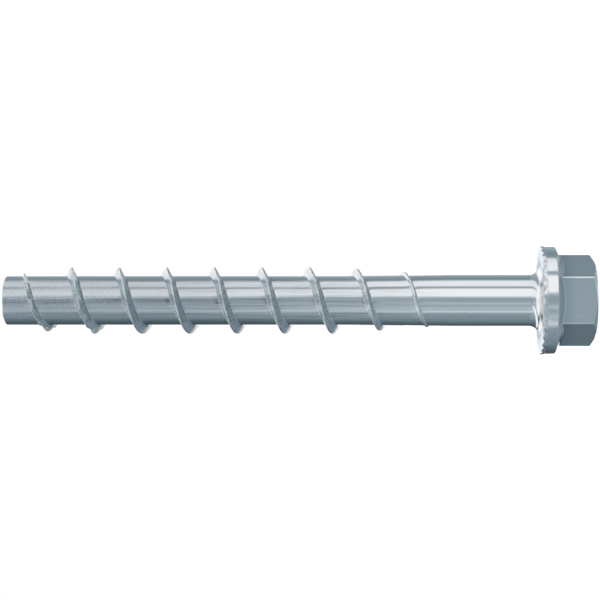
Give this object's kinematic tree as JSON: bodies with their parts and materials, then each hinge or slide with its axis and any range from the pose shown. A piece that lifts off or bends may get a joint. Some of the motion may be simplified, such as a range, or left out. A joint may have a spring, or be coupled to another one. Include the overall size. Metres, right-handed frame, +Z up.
{
  "type": "concrete screw",
  "caption": "Hexagon-head concrete screw with a grooved flange, smooth neck, coarse right-hand thread and saw notches near the tip.",
  "frame": {"origin": "centre of the head's flat top face, which the screw stands on", "axes": "+Z up the screw's axis from the head to the tip, +X through one corner of the hexagon, -Y square to one of its flats"},
  "size_m": [0.0204, 0.0204, 0.1101],
  "materials": {
    "zinc_steel": "satin zinc plating, cool blue-grey, drawn lengthwise on the shank and brighter at the head"
  },
  "bodies": {
    "root": {"screw": "zinc_steel"}
  },
  "joints": []
}
